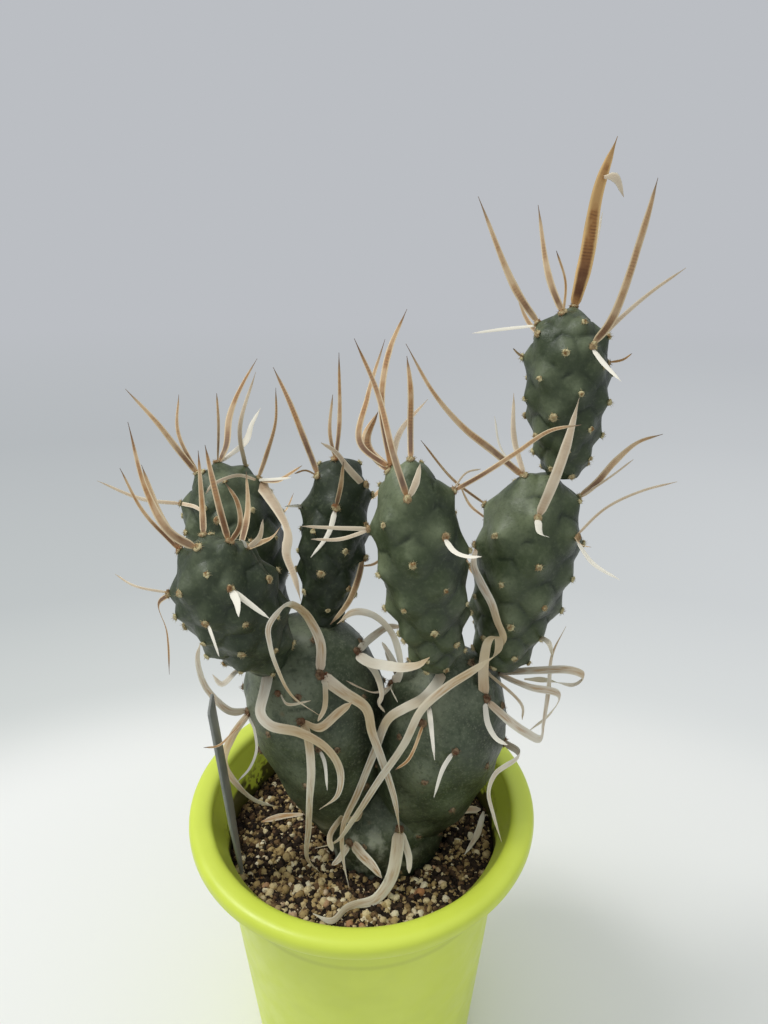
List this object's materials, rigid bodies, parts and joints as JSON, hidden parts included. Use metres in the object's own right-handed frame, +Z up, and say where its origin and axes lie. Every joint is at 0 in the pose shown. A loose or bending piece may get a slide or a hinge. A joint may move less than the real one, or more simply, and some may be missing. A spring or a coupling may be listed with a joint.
{
  "type": "potted paper spine cactus",
  "caption": "Upright branching cactus of stacked oval stem joints with flat papery spines, in a round tapered plastic pot of gritty soil with a blank label.",
  "frame": {"origin": "middle of the pot's flat underside, on the surface that it stands on", "axes": "+Z up; the plant's front faces -Y; the side with the plant label is -X"},
  "size_m": [0.1792, 0.12, 0.3251],
  "materials": {
    "pot_plastic": "satin lime green moulded plastic",
    "soil_mix": "dark peat with beige pumice grit",
    "cactus_skin": "matt grey-green waxy skin",
    "papery_spine": "dry striated papery ribbon, cream to tan with brown bands",
    "label_plastic": "plain grey-white plastic strip"
  },
  "bodies": {
    "root": {"joint_base": "cactus_skin", "joint_center_back": "cactus_skin", "joint_center_front": "cactus_skin", "joint_left": "cactus_skin", "joint_left_back": "cactus_skin", "joint_left_front": "cactus_skin", "joint_right": "cactus_skin", "joint_right_upper": "cactus_skin", "joint_top": "cactus_skin", "plant_label": "label_plastic", "pot": "pot_plastic", "soil": "soil_mix", "spines_base_front": "papery_spine", "spines_base_left": "papery_spine", "spines_center_back_front": "papery_spine", "spines_center_back_low_right": "papery_spine", "spines_center_back_top": "papery_spine", "spines_center_back_top_left": "papery_spine", "spines_center_back_top_right": "papery_spine", "spines_center_front_back": "papery_spine", "spines_center_front_front": "papery_spine", "spines_center_front_low_left": "papery_spine", "spines_center_front_low_right": "papery_spine", "spines_center_front_top": "papery_spine", "spines_center_front_top_right": "papery_spine", "spines_left_back_left": "papery_spine", "spines_left_back_right": "papery_spine", "spines_left_back_top": "papery_spine", "spines_left_back_top_left": "papery_spine", "spines_left_front": "papery_spine", "spines_left_front_far_left": "papery_spine", "spines_left_front_front": "papery_spine", "spines_left_front_left": "papery_spine", "spines_left_front_right": "papery_spine", "spines_left_front_top": "papery_spine", "spines_left_front_top_left": "papery_spine", "spines_left_front_top_right": "papery_spine", "spines_left_mid": "papery_spine", "spines_left_right_top": "papery_spine", "spines_left_side": "papery_spine", "spines_left_upper": "papery_spine", "spines_right_front": "papery_spine", "spines_right_low_right": "papery_spine", "spines_right_mid_left": "papery_spine", "spines_right_right_back": "papery_spine", "spines_right_right_front": "papery_spine", "spines_right_upper_down": "papery_spine", "spines_right_upper_front": "papery_spine", "spines_right_upper_left": "papery_spine", "spines_right_upper_right": "papery_spine", "spines_right_upper_top_left": "papery_spine", "spines_right_upper_top_right": "papery_spine", "spines_top_crown": "papery_spine", "spines_top_crown_left": "papery_spine", "spines_top_left": "papery_spine", "spines_top_right": "papery_spine"}
  },
  "joints": []
}
